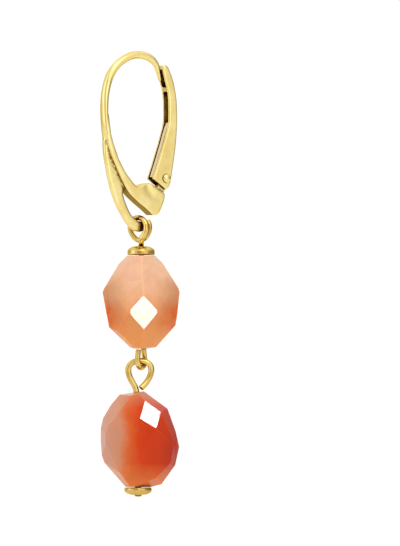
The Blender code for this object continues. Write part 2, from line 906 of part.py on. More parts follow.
def places():
    """Places of everything that hangs below the tail, each from the one above."""
    at = {}
    up = Vector((0.0, 0.0, 1.0))
    across = flat_direction(FACE_TURN)
    axis = Vector((DROP_BACK, 0.0, 0.0))
    at["tail"] = axis + up * tail_height()
    eye_top = tail_height() + 0.5 * TAIL_THICKNESS + EYE_GAP + PIN_WIRE
    at["top_eye"] = axis + across * TOP_EYE_SIDE + up * (eye_top - 0.5 * TOP_EYE_HEIGHT)
    cap_top = eye_top - TOP_EYE_HEIGHT - EYE_TO_CAP
    at["upper_cap"] = axis + up * (cap_top - CAP_HEIGHT)
    upper_top = cap_top - CAP_HEIGHT - SEAT_GAP
    at["upper_bead"] = axis + up * (upper_top - 0.5 * UPPER_BEAD_HEIGHT)
    foot = upper_top - UPPER_BEAD_HEIGHT
    aside = LINK_ROUTE[0][0] * 0.5 * (LINK_EYE_WIDTH - PIN_WIRE)
    at["upper_foot"] = axis + flat_direction(LINK_EYE_TURN) * aside + up * foot
    at["link_wire"] = axis + up * (foot - LINK_EYE_HEIGHT + 0.5 * PIN_WIRE)
    lower = axis + across * LOWER_DROP_SIDE
    lower_eye_top = at["link_wire"].z + 0.5 * PIN_WIRE + EYE_GAP + LOWER_PIN_WIRE
    at["lower_eye"] = lower + up * (lower_eye_top - LOWER_EYE_HEIGHT + 0.5 * LOWER_PIN_WIRE)
    lower_top = lower_eye_top - LOWER_EYE_HEIGHT - EYE_TO_BEAD
    at["lower_bead"] = lower + up * (lower_top - 0.5 * LOWER_BEAD_HEIGHT)
    at["lower_stem"] = lower + across * LOWER_STEM_SIDE + up * lower_top
    at["lower_cap"] = lower + across * LOWER_CAP_SIDE + up * (lower_top - LOWER_BEAD_HEIGHT - SEAT_GAP)
    return at


def make_upper_pin(at, parts):
    """One wire: the link eye below the upper bead, the stem through it and the eye on the hook."""
    up = Vector((0.0, 0.0, 1.0))
    pitch = PIN_WIRE + EYE_GAP
    side = flat_direction(LINK_EYE_TURN)
    half_width = 0.5 * (LINK_EYE_WIDTH - PIN_WIRE)
    drop = LINK_EYE_HEIGHT - 0.5 * PIN_WIRE
    link = [
        at["link_wire"] + side * (across * half_width) + up * ((1.0 - down) * drop)
        for across, down in LINK_ROUTE
    ]
    top = eye_points(
        at["top_eye"], flat_direction(TOP_EYE_TURN - 90), flat_direction(TOP_EYE_TURN),
        TOP_EYE_WIDTH - PIN_WIRE, TOP_EYE_HEIGHT - PIN_WIRE, TOP_EYE_START, TOP_EYE_END,
        pitch, TOP_EYE_LEVEL, up, TOP_EYE_NARROWING, TOP_EYE_STEPS,
    )
    stem = [at["upper_foot"], at["upper_cap"], at["upper_cap"] + up * (CAP_HEIGHT + 0.2 * PIN_WIRE)]
    return wire("upper_pin", smooth_route(link[::-1], 3) + stem + top, PIN_WIRE, parts)


def make_lower_pin(at, parts, tools):
    """One wire: the eye in the link, the stem through the lower bead and its head below the cap."""
    up = Vector((0.0, 0.0, 1.0))
    across = flat_direction(FACE_TURN)
    half_width = 0.5 * (LOWER_EYE_WIDTH - LOWER_PIN_WIRE)
    height = LOWER_EYE_HEIGHT - LOWER_PIN_WIRE
    outward = flat_direction(FACE_TURN - 90)
    eye = [
        at["lower_eye"]
        + across * (side * half_width)
        + up * (rise * height)
        + outward * (out * LOWER_PIN_WIRE)
        for side, rise, out in LOWER_EYE_ROUTE
    ]
    along = (at["lower_stem"] - at["lower_cap"]).normalized()
    under_cap = at["lower_cap"] - along * (LOWER_CAP_HEIGHT + SEAT_GAP)
    foot = under_cap - along * 0.5 * PIN_HEAD_HEIGHT
    stem = [foot, at["lower_cap"].lerp(at["lower_stem"], 0.5), at["lower_stem"]]
    pin = wire("lower_pin", stem + smooth_route(eye, 3), LOWER_PIN_WIRE, parts)
    dome = [(share * 0.5 * PIN_HEAD, -down * PIN_HEAD_HEIGHT) for share, down in PIN_DOME]
    head = turned("pin_head", dome, False, tools)
    head.location = under_cap
    combine(pin, head, "UNION")
    return pin


def make_bead(name, outline, corners, facets, half, centre, pin_ends, pin_wire, parts, tools):
    """A faceted stone, drilled through along its pin."""
    planes = facet_planes(outline, corners, facets, half)
    bead = cut_stone(name, planes, half, parts)
    bead.matrix_world = face_matrix(centre)
    top, foot = pin_ends
    drill = cylinder(
        name + "_drill", 0.5 * pin_wire + DRILL_GAP, 3 * half[2], top.lerp(foot, 0.5), top - foot,
        16, tools,
    )
    combine(bead, drill, "DIFFERENCE")
    return bead


def main():
    clear_scene()
    parts = new_collection("drop_earring")
    tools = new_collection("cutters")
    pale = new_material("pale gold plate", PALE_GOLD, 0.16, 1.0)
    warm = new_material("warm gold plate", WARM_GOLD, 0.14, 1.0)
    peach = new_material("peach stone", PEACH_STONE, 0.12, 0.0)
    orange = new_material("orange stone", ORANGE_STONE, 0.1, 0.0)
    at = places()

    dress(make_ear_hook(parts, tools), pale, 35)
    dress(make_rivet(parts), pale, 40)
    lever = make_lever(parts, tools)
    leaf = make_leaf(parts)
    dress(lever, pale, 35)
    dress(leaf, pale, 30)

    upper_pin = make_upper_pin(at, parts)
    bore = 0.5 * PIN_WIRE + DRILL_GAP
    upper_cap = turned("upper_cap", cap_profile(CAP_HEIGHT, bore), True, parts)
    upper_cap.location = at["upper_cap"]
    half = (0.5 * UPPER_BEAD_WIDTH, 0.5 * UPPER_BEAD_DEPTH, 0.5 * UPPER_BEAD_HEIGHT)
    upper_bead = make_bead(
        "upper_bead", UPPER_OUTLINE, UPPER_CORNERS, UPPER_FACETS, half, at["upper_bead"],
        (at["upper_cap"], at["upper_foot"]), PIN_WIRE, parts, tools,
    )
    lower_pin = make_lower_pin(at, parts, tools)
    half = (0.5 * LOWER_BEAD_WIDTH, 0.5 * LOWER_BEAD_DEPTH, 0.5 * LOWER_BEAD_HEIGHT)
    lower_bead = make_bead(
        "lower_bead", LOWER_OUTLINE, LOWER_CORNERS, LOWER_FACETS, half, at["lower_bead"],
        (at["lower_stem"], at["lower_cap"]), LOWER_PIN_WIRE, parts, tools,
    )
    bore = 0.5 * LOWER_PIN_WIRE + DRILL_GAP
    lower_cap = turned("lower_cap", cap_profile(LOWER_CAP_HEIGHT, bore), True, parts)
    lower_cap.rotation_euler = (math.pi, 0.0, 0.0)
    lower_cap.location = at["lower_cap"]
    dress(upper_pin, warm, 60)
    dress(upper_cap, warm, 40)
    dress(upper_bead, peach, 5)
    dress(lower_pin, warm, 60)
    dress(lower_bead, orange, 5)
    dress(lower_cap, warm, 40)

    lever_axis = new_axis("lever_axis", hinge_place(), parts)
    upper_axis = new_axis("upper_drop_axis", at["tail"], parts)
    lower_axis = new_axis("lower_drop_axis", at["link_wire"], parts)
    for piece in (lever, leaf):
        carry(piece, lever_axis)
    for piece in (upper_pin, upper_cap, upper_bead, lower_axis):
        carry(piece, upper_axis)
    for piece in (lower_pin, lower_bead, lower_cap):
        carry(piece, lower_axis)
    bpy.context.view_layer.update()


main()
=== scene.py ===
# %% [markdown]
# A leverback drop earring: a pale gold hook with a hinged lever, and below it two faceted stone beads on
# looped gold wire. The imported model gives the shapes and where everything hangs. This file gives each
# piece its finish, rounds its edges as wear and polish do, and lights and frames it. The imported shapes
# stay as they are: a piece that needs another shape gets a copy that stands for it, and the spring strip
# keeps its own mesh with a new finish.

import math

import bmesh
import bpy
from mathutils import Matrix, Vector
from mathutils.bvhtree import BVHTree


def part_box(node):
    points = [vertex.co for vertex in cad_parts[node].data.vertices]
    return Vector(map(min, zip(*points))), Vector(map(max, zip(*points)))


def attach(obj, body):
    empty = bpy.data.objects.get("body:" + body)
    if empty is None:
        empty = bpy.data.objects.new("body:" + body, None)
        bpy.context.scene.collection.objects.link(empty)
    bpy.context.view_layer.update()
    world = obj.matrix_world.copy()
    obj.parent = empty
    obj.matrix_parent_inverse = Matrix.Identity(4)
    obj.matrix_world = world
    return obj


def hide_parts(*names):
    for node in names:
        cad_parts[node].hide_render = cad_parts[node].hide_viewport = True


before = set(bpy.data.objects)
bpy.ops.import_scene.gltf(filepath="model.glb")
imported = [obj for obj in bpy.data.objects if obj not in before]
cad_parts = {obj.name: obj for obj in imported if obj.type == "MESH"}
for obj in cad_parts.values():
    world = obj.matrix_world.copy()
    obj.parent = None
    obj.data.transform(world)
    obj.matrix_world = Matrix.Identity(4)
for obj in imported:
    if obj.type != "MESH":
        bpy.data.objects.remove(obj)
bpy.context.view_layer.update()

# %% [markdown]
# All sizes here are in metres, as in the model, and patterns are scaled in millimetres. Colours are
# picked as sRGB hex values, as a colour picker gives them, and one function turns them to the linear
# light that Blender's shaders need. Another adds a shader node with its settings and links. Node
# trees could also be drawn by hand, but in code a finish reads as a list and can be made again.

# %% Colour and node helpers
MM = 0.001


def linear(hex_colour):
    """A hex colour as linear red, green, blue and full alpha."""
    found = []
    for start in (0, 2, 4):
        share = int(hex_colour[start:start + 2], 16) / 255
        found.append(share / 12.92 if share <= 0.04045 else ((share + 0.055) / 1.055) ** 2.4)
    return (*found, 1.0)


def add(tree, kind, settings=None, **links):
    """Add a node. Settings are its attributes, inputs or colour stops, links the sources of its inputs."""
    made = tree.nodes.new(kind)
    for name, value in (settings or {}).items():
        if name == "stops":
            marks = made.color_ramp.elements
            while len(marks) < len(value):
                marks.new(0.5)
            for mark, (at, hex_colour) in zip(marks, value):
                mark.position = at
                mark.color = linear(hex_colour)
        elif isinstance(name, int) or name in made.inputs:
            made.inputs[name].default_value = value
        else:
            setattr(made, name, value)
    for name, source in links.items():
        by_number = name[0] == "i" and name[1:].isdigit()
        socket = made.inputs[int(name[1:]) if by_number else name.replace("_", " ")]
        tree.links.new(source, socket)
    return made


def new_finish(name):
    """A material with its node tree and shader, and the place on the model in millimetres."""
    made = bpy.data.materials.new(name)
    made.use_nodes = True
    tree = made.node_tree
    shader = tree.nodes["Principled BSDF"]
    place = add(tree, "ShaderNodeTexCoord")
    scaled = add(
        tree, "ShaderNodeVectorMath", {"operation": "SCALE", "Scale": 1 / MM}, i0=place.outputs["Object"]
    )
    return made, tree, shader, scaled.outputs["Vector"]


print("orange stone in linear light", [round(c, 3) for c in linear("cc4420")[:3]])

# %% [markdown]
# The photograph looks at the earring from 30 degrees round to one side, and level with it. It shows
# 0.104 mm per pixel, with the hook's inside top 138 pixels from the left and 58.8 from the top. One
# function says what place a pixel shows. The camera, the lights and two worn corners could each be
# placed by eye, but placed by this function they agree with each other and with the model.

# %% The photograph's view
PIXEL = 0.104 * MM
ORIGIN_AT = (138.0, 58.8)
VIEW = math.radians(-30)
towards = Vector((math.sin(VIEW), -math.cos(VIEW), 0))
right = Vector((math.cos(VIEW), math.sin(VIEW), 0))
up = Vector((0, 0, 1))


def photo_place(u, v, out=0.0):
    """The place that a pixel of the photograph shows, some way out towards the camera."""
    return right * ((u - ORIGIN_AT[0]) * PIXEL) - up * ((v - ORIGIN_AT[1]) * PIXEL) + towards * out


print("towards the camera", [round(v, 3) for v in towards])

# %% [markdown]
# Polished metal keeps its grime where the wheel doesn't reach, and shade falls in the same recesses, so
# the brown mixed in there is partly grime and partly painted shade. It could be painted on by hand, but
# here the shape itself says where it lies, so it stays right when the shape changes. An ambient occlusion
# node finds places with other metal close by, such as the lever's channel, and Pointiness finds the bottom
# of a crease. A flat under the hook's body gets painted shade as well; it is found by the way it faces and
# by how far out it lies that way.

# %% Where grime and painted shade lie
AO_RAYS = 12
OPEN_TO_LIGHT, SHUT_IN = 0.86, 0.45
EVEN_SURFACE, IN_A_CREASE = 0.495, 0.470
FACES_ALMOST, FACES_FULLY = 0.86, 0.96
FLAT_SHADE_SHARE = 0.8
FLAT_WITHIN_MM = 0.6


def recess_shade_and_grime(tree, reach_mm):
    """How much painted shade and soiling the metal gets: 0 in the open, 1 in a crease or where other metal
    is within reach.
    """
    hidden = add(tree, "ShaderNodeAmbientOcclusion", {"samples": AO_RAYS, "Distance": reach_mm * MM})
    shut_in = add(
        tree, "ShaderNodeMapRange", {"From Min": OPEN_TO_LIGHT, "From Max": SHUT_IN},
        Value=hidden.outputs["AO"],
    )
    bend = add(tree, "ShaderNodeNewGeometry")
    crease = add(
        tree, "ShaderNodeMapRange", {"From Min": EVEN_SURFACE, "From Max": IN_A_CREASE},
        Value=bend.outputs["Pointiness"],
    )
    more = add(
        tree, "ShaderNodeMath", {"operation": "MAXIMUM"},
        i0=shut_in.outputs["Result"], i1=crease.outputs["Result"],
    )
    return more.outputs[0]


def flat_painted_shade(tree, place, facing, distance_mm):
    """How much painted shade a flat gets: it faces a way, and lies some millimetres from the origin that
    way.
    """
    coords = add(tree, "ShaderNodeTexCoord")
    faces = add(
        tree, "ShaderNodeVectorMath", {"operation": "DOT_PRODUCT", 1: facing}, i0=coords.outputs["Normal"]
    )
    level = add(tree, "ShaderNodeVectorMath", {"operation": "DOT_PRODUCT", 1: facing}, i0=place)
    turned = add(
        tree, "ShaderNodeMapRange",
        {"From Min": FACES_ALMOST, "From Max": FACES_FULLY, "To Max": FLAT_SHADE_SHARE},
        Value=faces.outputs["Value"],
    )
    near = add(
        tree, "ShaderNodeMath", {"operation": "COMPARE", 1: distance_mm, 2: FLAT_WITHIN_MM},
        i0=level.outputs["Value"],
    )
    both = add(
        tree, "ShaderNodeMath", {"operation": "MULTIPLY"}, i0=turned.outputs["Result"], i1=near.outputs[0]
    )
    return both.outputs[0]


# Grime and painted shade are full where less than this share of the light gets in.
print("grime is full where less than", SHUT_IN, "of the light gets in")

# %% [markdown]
# All the gold here is electroplate, polished on a wheel. It is smooth but never quite even, so a low
# bump of about a millimetre bends its reflections a little, and its low roughness rises in cloudy
# patches where fingers have dulled it. One flat colour would look like paint, so the plate drifts
# between two tones, in patches of about 2 mm. A metal reflects in its own colour, and its IOR is left
# as Blender has it. The specular tint keeps the gold's colour where it is seen edge on.

# %% Gold plate
TONES_PER_MM = 0.45
FINGERMARKS_PER_MM = 2.2
CLEANEST, DULLEST = 0.8, 1.35


def gold_plate(name, main, deep, shade_and_grime, shade_reach_mm, roughness, wave_mm, wave_height_mm, shaded_flat=None):
    """Polished gold plate with painted shade and soiling in its recesses. A shaded flat is its facing and
    its distance in mm.
    """
    made, tree, shader, place = new_finish(name)
    clouds = add(
        tree, "ShaderNodeTexNoise", {"Scale": TONES_PER_MM, "Detail": 3.0, "Roughness": 0.55}, Vector=place
    )
    tone = add(
        tree, "ShaderNodeValToRGB", {"stops": [(0.35, deep), (0.62, main)]}, Fac=clouds.outputs["Fac"]
    )
    shade_and_dirt = recess_shade_and_grime(tree, shade_reach_mm)
    # Painted shade on a flat that faces one way, under the hook's body.
    if shaded_flat:
        flat = flat_painted_shade(tree, place, *shaded_flat)
        shade_and_dirt = add(tree, "ShaderNodeMath", {"operation": "MAXIMUM"}, i0=shade_and_dirt, i1=flat).outputs[0]
    # Painted shade and grime: the plate's tone goes to a brown in recesses, creases and the shaded flat.
    darkened = add(
        tree, "ShaderNodeMix", {"data_type": "RGBA", 7: linear(shade_and_grime)}, i0=shade_and_dirt, i6=tone.outputs["Color"]
    )
    tree.links.new(darkened.outputs[2], shader.inputs["Base Color"])
    shader.inputs["Metallic"].default_value = 1.0
    shader.inputs["Specular Tint"].default_value = linear("f2dfae")
    marks = add(tree, "ShaderNodeTexNoise", {"Scale": FINGERMARKS_PER_MM, "Detail": 4.0}, Vector=place)
    dull = add(
        tree, "ShaderNodeMapRange",
        {"From Min": 0.3, "From Max": 0.7, "To Min": roughness * CLEANEST, "To Max": roughness * DULLEST},
        Value=marks.outputs["Fac"],
    )
    tree.links.new(dull.outputs["Result"], shader.inputs["Roughness"])
    waves = add(tree, "ShaderNodeTexNoise", {"Scale": 1 / wave_mm, "Detail": 1.0}, Vector=place)
    bump = add(
        tree, "ShaderNodeBump", {"Strength": 1.0, "Distance": wave_height_mm * MM},
        Height=waves.outputs["Fac"],
    )
    tree.links.new(bump.outputs["Normal"], shader.inputs["Normal"])
    return made


print("fingermarks are about", round(1 / FINGERMARKS_PER_MM, 1), "mm across")

# %% [markdown]
# The hook and the lever are cast, and their plate is a pale yellow. Under the hook's body is a flat with
# painted shade: it faces down and forwards, lies 11.7 mm out that way, and is painted brown. A casting's
# skin is wavy, so the bump is higher here than on the wire.

# %% Cast and polished gold plate
UNDER_FACING = (-0.627, 0.0, -0.779)
UNDER_DISTANCE_MM = 11.7

cast_gold = gold_plate(
    "cast and polished gold plate", main="f5e39c", deep="ecd384", shade_and_grime="5a3410", shade_reach_mm=0.9,
    roughness=0.14, wave_mm=1.3, wave_height_mm=0.02, shaded_flat=(UNDER_FACING, UNDER_DISTANCE_MM),
)
print("hook and lever finish:", cast_gold.name)

# %% [markdown]
# The eyes, pins and caps are drawn wire and pressed sheet, with a deeper yellow plate. Drawing through a
# die leaves wire smoother than a casting, so its roughness and its waves are lower. The grime and painted
# shade of its recesses reach less far out on it, because wire has no deep channels.

# %% Plated wire and caps
wire_gold = gold_plate(
    "drawn wire with rich gold plate", main="e0c678", deep="c09c4c", shade_and_grime="8c4c10", shade_reach_mm=0.35,
    roughness=0.08, wave_mm=0.9, wave_height_mm=0.012,
)
print("wire and cap finish:", wire_gold.name)

# %% [markdown]
# The spring is a strip of rolled metal. It looks duller and pinker than the parts round it, because it
# lies in the shade of the channel and was left unpolished, with rolling lines along it. Noise squeezed
# across the strip makes such lines. Only its edges, next to the channel's walls, are darkened: painted
# shade with grime, a dark brown that reaches out 0.3 mm and needs no Pointiness.

# %% Rolled spring strip
LINES_SQUEEZE = 14.0
SPRING_SHADE_MM = 0.3
SPRING_OPEN, SPRING_SHUT_IN = 0.8, 0.5

spring_gold, tree, shader, place = new_finish("rolled spring strip")
squeezed = add(
    tree, "ShaderNodeVectorMath", {"operation": "MULTIPLY", 1: (1.0, LINES_SQUEEZE, 1.0)}, i0=place
)
lines = add(tree, "ShaderNodeTexNoise", {"Scale": 0.8, "Detail": 3.0}, Vector=squeezed.outputs["Vector"])
rolled = add(
    tree, "ShaderNodeValToRGB", {"stops": [(0.3, "f6d2a6"), (0.7, "fff2cc")]}, Fac=lines.outputs["Fac"]
)
# Painted shade: where the channel's walls are near, the rolled colour goes dark brown.
hidden = add(tree, "ShaderNodeAmbientOcclusion", {"samples": AO_RAYS, "Distance": SPRING_SHADE_MM * MM})
shade_and_dirt = add(
    tree, "ShaderNodeMapRange", {"From Min": SPRING_OPEN, "From Max": SPRING_SHUT_IN},
    Value=hidden.outputs["AO"],
)
darkened = add(
    tree, "ShaderNodeMix", {"data_type": "RGBA", 7: linear("5e2c10")},
    i0=shade_and_dirt.outputs["Result"], i6=rolled.outputs["Color"],
)
tree.links.new(darkened.outputs[2], shader.inputs["Base Color"])
shader.inputs["Metallic"].default_value = 1.0
shader.inputs["Roughness"].default_value = 0.4
bump = add(tree, "ShaderNodeBump", {"Strength": 0.6, "Distance": 0.01 * MM}, Height=lines.outputs["Fac"])
tree.links.new(bump.outputs["Normal"], shader.inputs["Normal"])
print("spring finish:", spring_gold.name)

# %% [markdown]
# The beads are chalcedony, a cloudy quartz: polished like glass outside and milky inside, so that
# light goes in about a millimetre and comes out coloured. Glass with a volume inside would do that
# too, but slowly and with much noise. Subsurface scattering does it on the surface. Quartz has an IOR
# of 1.54. This studio is brighter all round than the photograph's, so the specular level is turned
# down until the facets that lean away stay dark. The colours lie in soft zones, so they are worked
# out from the place in the stone, turned to face the same way as the cutter's front facet.

# %% Stone helpers
FACE_TURN = math.radians(-30)
QUARTZ_IOR = 1.54
POLISH_ROUGHNESS = 0.05
SHINE = 0.07
MILKINESS = 0.8
LIGHT_REACH_MM = 1.2


def stone_middle(node):
    """The centre and half sizes of a stone's box."""
    low, high = (Vector(corner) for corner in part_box(node))
    return (low + high) / 2, (high - low) / 2


def stone_place(tree, place, centre, half):
    """Across, out and up in a stone as shares of half its size, from the stone's own centre."""
    moved = add(
        tree, "ShaderNodeMapping",
        {
            "vector_type": "TEXTURE", "Location": [c / MM for c in centre],
            "Rotation": (0, 0, FACE_TURN), "Scale": [h / MM for h in half],
        },
        Vector=place,
    )
    return add(tree, "ShaderNodeSeparateXYZ", None, Vector=moved.outputs["Vector"])


def polish_stone(tree, shader, colour, radius):
    """Polished quartz with a milky inside. Radius is how far red, green and blue light go, as shares."""
    tree.links.new(colour, shader.inputs["Base Color"])
    shader.inputs["Roughness"].default_value = POLISH_ROUGHNESS
    shader.inputs["IOR"].default_value = QUARTZ_IOR
    shader.inputs["Specular IOR Level"].default_value = SHINE
    shader.inputs["Subsurface Weight"].default_value = MILKINESS
    shader.inputs["Subsurface Radius"].default_value = radius
    shader.inputs["Subsurface Scale"].default_value = LIGHT_REACH_MM * MM


for bead in ("upper_bead", "lower_bead"):
    print(bead, "centre in mm", [round(v / MM, 2) for v in stone_middle(bead)[0]])

# %% [markdown]
# The upper bead is peach, with a stronger orange low down, and paler towards the top, where the light from
# above falls: that pale top is painted light. A ramp of colours runs up the stone. Noise in patches of
# about 2 mm moves the ramp up and down, because a plain ramp would show as level stripes.

# %% Peach chalcedony, from foot to top
PEACH_HALF_WIDTH, PEACH_HALF_DEPTH = 4.0 * MM, 3.85 * MM
PEACH_CLOUDS_PER_MM = 0.55
CLOUD_SHIFT = 0.16
MIDDLE_ON_RAMP = 0.42

peach_stone, tree, shader, place = new_finish("peach chalcedony")
centre, half = stone_middle("upper_bead")
spot = stone_place(tree, place, centre, (PEACH_HALF_WIDTH, PEACH_HALF_DEPTH, half.z))
clouds = add(
    tree, "ShaderNodeTexNoise", {"Scale": PEACH_CLOUDS_PER_MM, "Detail": 4.0, "Roughness": 0.6},
    Vector=place,
)
height = add(
    tree, "ShaderNodeMath", {"operation": "MULTIPLY_ADD", 1: 0.5, 2: MIDDLE_ON_RAMP}, i0=spot.outputs["Z"]
)
lifted = add(
    tree, "ShaderNodeMath", {"operation": "MULTIPLY_ADD", 1: CLOUD_SHIFT},
    i0=clouds.outputs["Fac"], i2=height.outputs[0],
)
# The pale stops near the top of this ramp are painted light from above.
peach_with_lit_top = add(
    tree, "ShaderNodeValToRGB",
    {
        "stops": [
            (0.05, "e59a58"), (0.22, "e2985a"), (0.34, "dc9458"),
            (0.50, "e2aa7c"), (0.66, "e6b996"), (0.95, "e6bc9e"),
        ],
    },
    Fac=lifted.outputs[0],
)
print("peach zones:", len(peach_with_lit_top.color_ramp.elements))

# %% [markdown]
# Towards its sides the stone is deeper: a brown band at mid height, and below it an orange glow,
# where light comes out again after a long way through. Each is a colour mixed in by two shares, how
# far out to the side a place is and how far up, so that both fade softly.

# %% Peach chalcedony, towards its sides
side = add(tree, "ShaderNodeMath", {"operation": "ABSOLUTE"}, i0=spot.outputs["X"])
out_there = add(tree, "ShaderNodeMapRange", {"From Min": 0.32, "From Max": 0.90}, Value=side.outputs[0])
mid_band = add(
    tree, "ShaderNodeValToRGB",
    {"stops": [(0.34, "000000"), (0.48, "ffffff"), (0.66, "ffffff"), (0.84, "000000")]},
    Fac=lifted.outputs[0],
)
mid_share = add(
    tree, "ShaderNodeMath", {"operation": "MULTIPLY"},
    i0=out_there.outputs["Result"], i1=mid_band.outputs["Color"],
)
shaded = add(
    tree, "ShaderNodeMix", {"data_type": "RGBA", 7: linear("c48c64")},
    i0=mid_share.outputs[0], i6=peach_with_lit_top.outputs["Color"],
)
low_band = add(
    tree, "ShaderNodeValToRGB",
    {"stops": [(0.10, "000000"), (0.26, "ffffff"), (0.42, "ffffff"), (0.56, "000000")]},
    Fac=lifted.outputs[0],
)
low_share = add(
    tree, "ShaderNodeMath", {"operation": "MULTIPLY"},
    i0=out_there.outputs["Result"], i1=low_band.outputs["Color"],
)
glow = add(
    tree, "ShaderNodeMix", {"data_type": "RGBA", 7: linear("cc580e")},
    i0=low_share.outputs[0], i6=shaded.outputs[2],
)
print("peach finish so far:", len(tree.nodes), "nodes")

# %% [markdown]
# Faint veins cross the stone, slightly darker than what lies round them. A narrow band of values of
# a distorted noise is a wandering line, so a ramp with a low peak picks the veins out of it.

# %% Peach chalcedony, veins and polish
VEINS_PER_MM = 0.55
VEIN_BEND = 1.4

veins = add(
    tree, "ShaderNodeTexNoise",
    {"Scale": VEINS_PER_MM, "Detail": 5.0, "Roughness": 0.65, "Distortion": VEIN_BEND}, Vector=place,
)
vein_share = add(
    tree, "ShaderNodeValToRGB",
    {"stops": [(0.38, "000000"), (0.47, "808080"), (0.52, "808080"), (0.60, "000000")]},
    Fac=veins.outputs["Fac"],
)
veined = add(
    tree, "ShaderNodeMix", {"data_type": "RGBA", 7: linear("d2926a")},
    i0=vein_share.outputs["Color"], i6=glow.outputs[2],
)
polish_stone(tree, shader, veined.outputs[2], radius=(1.0, 0.45, 0.25))
print("upper stone finish:", peach_stone.name)

# %% [markdown]
# The lower bead is zoned: a milky pinkish tan on one side and a vivid orange red on the other, with
# the colour deepest near the right edge. The border between the zones is soft and a little wavy, as
# in banded chalcedony, so noise in patches of 2 mm pushes it to and fro.

# %% Banded orange chalcedony, from side to side
ORANGE_HALF_WIDTH, ORANGE_HALF_DEPTH = 4.08 * MM, 3.9 * MM
ORANGE_CLOUDS_PER_MM = 0.5
WANDER = 0.22

orange_stone, tree, shader, place = new_finish("banded orange chalcedony")
centre, half = stone_middle("lower_bead")
spot = stone_place(tree, place, centre, (ORANGE_HALF_WIDTH, ORANGE_HALF_DEPTH, half.z))
clouds = add(
    tree, "ShaderNodeTexNoise", {"Scale": ORANGE_CLOUDS_PER_MM, "Detail": 4.0, "Roughness": 0.6},
    Vector=place,
)
wander = add(
    tree, "ShaderNodeMath", {"operation": "MULTIPLY_ADD", 1: WANDER, 2: -WANDER / 2},
    i0=clouds.outputs["Fac"],
)
across = add(tree, "ShaderNodeMath", {"operation": "MULTIPLY_ADD", 1: 0.5, 2: 0.5}, i0=spot.outputs["X"])
zoned = add(tree, "ShaderNodeMath", {"operation": "ADD"}, i0=across.outputs[0], i1=wander.outputs[0])
zones = add(
    tree, "ShaderNodeValToRGB",
    {
        "stops": [
            (0.02, "c69480"), (0.25, "cb8c6c"), (0.36, "d0642f"),
            (0.50, "cb4318"), (0.78, "c03a18"), (0.95, "a83420"),
        ],
    },
    Fac=zoned.outputs[0],
)
print("orange zones:", len(zones.color_ramp.elements))

# %% [markdown]
# At its top and its foot the same stone is paler, where it is thin. Two more colours come in over the
# zones, each by a share that grows towards that end, and the same noise makes their borders wavy.

# %% Banded orange chalcedony, ends and polish
height = add(tree, "ShaderNodeMath", {"operation": "ADD"}, i0=spot.outputs["Z"], i1=wander.outputs[0])
top_share = add(
    tree, "ShaderNodeMapRange", {"From Min": 0.66, "From Max": 0.98, "To Max": 0.75},
    Value=height.outputs[0],
)
topped = add(
    tree, "ShaderNodeMix", {"data_type": "RGBA", 7: linear("c88b68")},
    i0=top_share.outputs["Result"], i6=zones.outputs["Color"],
)
foot_share = add(
    tree, "ShaderNodeMapRange", {"From Min": -0.5, "From Max": -0.95, "To Max": 0.8},
    Value=height.outputs[0],
)
footed = add(
    tree, "ShaderNodeMix", {"data_type": "RGBA", 7: linear("d67e42")},
    i0=foot_share.outputs["Result"], i6=topped.outputs[2],
)
polish_stone(tree, shader, footed.outputs[2], radius=(1.0, 0.25, 0.1))
print("lower stone finish:", orange_stone.name)

# %% [markdown]
# A cut stone that has been worn has no truly sharp edges: each one is rounded over a tenth of a
# millimetre or two, and catches a thin line of light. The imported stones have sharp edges. A remesh
# would soften the facets too, so each stone gets a copy with a bevel on its edges, and weighted
# normals keep the facets flat. Faces of the mesh that lie in one facet are joined to one face first.
# A corner that is worn blunt is cut off before the edges are rounded.

# %% Wear on a stone
WELD = 0.0005 * MM
SAME_FACET = math.radians(1.5)
CORNER_WITHIN = 0.25 * MM
CORNER_FACES_US = 0.5
CORNER_CUT = 0.3 * MM
EDGE_FROM = math.radians(3)
SHORTEST_EDGE = 0.3 * MM
SHARP_FROM = math.radians(14)


def worn_stone(name, node, finish, rounding, blunted=()):
    """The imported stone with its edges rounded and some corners, given as pixels, cut blunt."""
    shape = bmesh.new()
    shape.from_mesh(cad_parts[node].data)
    bmesh.ops.remove_doubles(shape, verts=shape.verts, dist=WELD)
    bmesh.ops.dissolve_limit(shape, angle_limit=SAME_FACET, verts=shape.verts, edges=shape.edges)
    for u, v in blunted:
        seen = photo_place(u, v)
        corners = [
            corner for corner in shape.verts
            if (corner.co - seen).cross(towards).length < CORNER_WITHIN
            and corner.normal.dot(towards) > CORNER_FACES_US
        ]
        bmesh.ops.bevel(shape, geom=corners, offset=CORNER_CUT, segments=1, affect="VERTICES")
        print(name, "blunt corners", len(corners))
    rims = [
        edge for edge in shape.edges
        if len(edge.link_faces) == 2 and edge.calc_face_angle() > EDGE_FROM
        and edge.calc_length() > SHORTEST_EDGE
    ]
    bmesh.ops.bevel(
        shape, geom=rims, offset=rounding, segments=3, profile=0.5, affect="EDGES", clamp_overlap=True
    )
    mesh = bpy.data.meshes.new(name)
    shape.to_mesh(mesh)
    shape.free()
    made = bpy.data.objects.new(name, mesh)
    bpy.context.scene.collection.objects.link(made)
    mesh.materials.append(finish)
    mesh.shade_smooth()
    mesh.set_sharp_from_angle(angle=SHARP_FROM)
    weighted = made.modifiers.new("facets stay flat", "WEIGHTED_NORMAL")
    weighted.keep_sharp = True
    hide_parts(node)
    print(name, len(mesh.polygons), "faces")
    return made


print("worn are edges of", round(math.degrees(EDGE_FROM)), "degrees or more")

# %% [markdown]
# The upper stone's edges are worn more than the lower one's. Its front facet is a kite, and the two
# side corners of that kite are blunt in the photograph.

# %% Stones with worn edges
KITE_CORNERS = ((128.4, 313), (158.4, 313))
UPPER_ROUNDING = 0.2 * MM
LOWER_ROUNDING = 0.07 * MM

